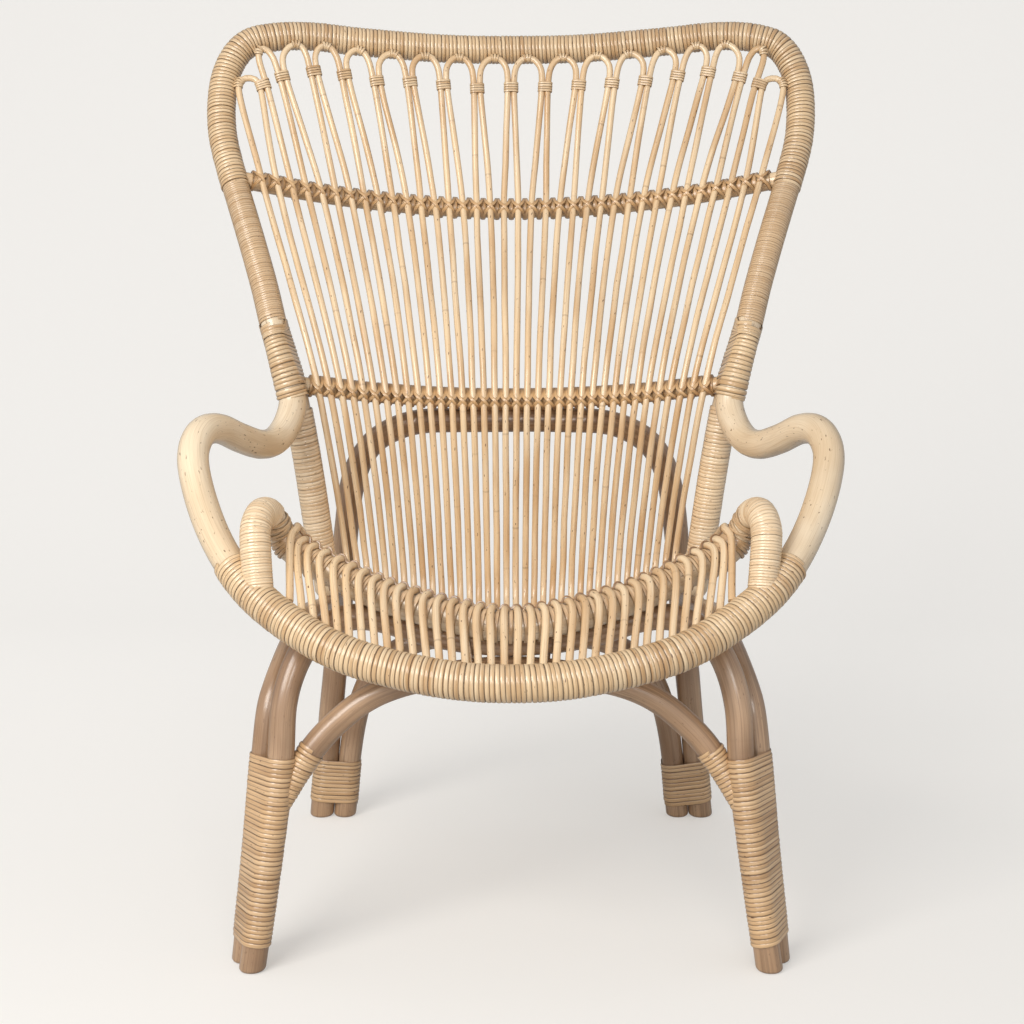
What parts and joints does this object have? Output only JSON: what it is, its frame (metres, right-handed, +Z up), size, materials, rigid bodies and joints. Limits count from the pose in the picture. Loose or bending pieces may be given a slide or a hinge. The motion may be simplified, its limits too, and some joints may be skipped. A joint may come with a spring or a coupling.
{
  "type": "peacock chair",
  "caption": "Rattan lounge chair with a flared high back of hairpin canes, open looped arms, a dished cane seat and splayed, bound pole legs.",
  "frame": {"origin": "centre of the bounding box at the floor, between the feet", "axes": "+Z up, +Y from the front of the chair to its back, +X across the chair to the right of someone who faces it"},
  "size_m": [0.797, 0.7632, 1.0602],
  "materials": {
    "cane": "satin peeled cane",
    "binding": "satin split-cane binding",
    "peeled_pole": "satin peeled rattan pole",
    "leg_pole": "satin darker rattan pole"
  },
  "bodies": {
    "root": {"back_hoop": "peeled_pole", "arm_and_rim_pole": "peeled_pole", "crest_rail": "peeled_pole", "front_leg_arch": "leg_pole", "back_bow": "leg_pole", "rear_leg_arch": "leg_pole", "side_bearer_left": "leg_pole", "side_bearer_right": "leg_pole", "rear_seat_rail": "leg_pole", "front_brace": "leg_pole", "upper_back_rail": "cane", "middle_back_rail": "cane", "hairpin_cane_01": "cane", "hairpin_cane_02": "cane", "hairpin_cane_03": "cane", "hairpin_cane_04": "cane", "hairpin_cane_05": "cane", "hairpin_cane_06": "cane", "hairpin_cane_07": "cane", "hairpin_cane_08": "cane", "hairpin_cane_09": "cane", "hairpin_cane_10": "cane", "hairpin_cane_11": "cane", "hairpin_cane_12": "cane", "hairpin_cane_13": "cane", "hairpin_cane_14": "cane", "hairpin_cane_15": "cane", "hairpin_cane_16": "cane", "hairpin_cane_17": "cane", "hairpin_cane_18": "cane", "hoop_binding": "binding", "rim_binding": "binding", "hook_binding_left": "binding", "hook_binding_right": "binding", "brace_binding_left": "binding", "brace_binding_right": "binding", "hoop_side_binding_left": "binding", "hoop_side_binding_right": "binding", "hoop_foot_binding_left": "binding", "hoop_foot_binding_right": "binding", "front_leg_binding_left": "binding", "front_leg_binding_right": "binding", "rear_leg_binding_left": "binding", "rear_leg_binding_right": "binding", "arm_joint_binding_left": "binding", "arm_joint_binding_right": "binding", "brace_lashing_left": "binding", "brace_lashing_right": "binding"}
  },
  "joints": []
}
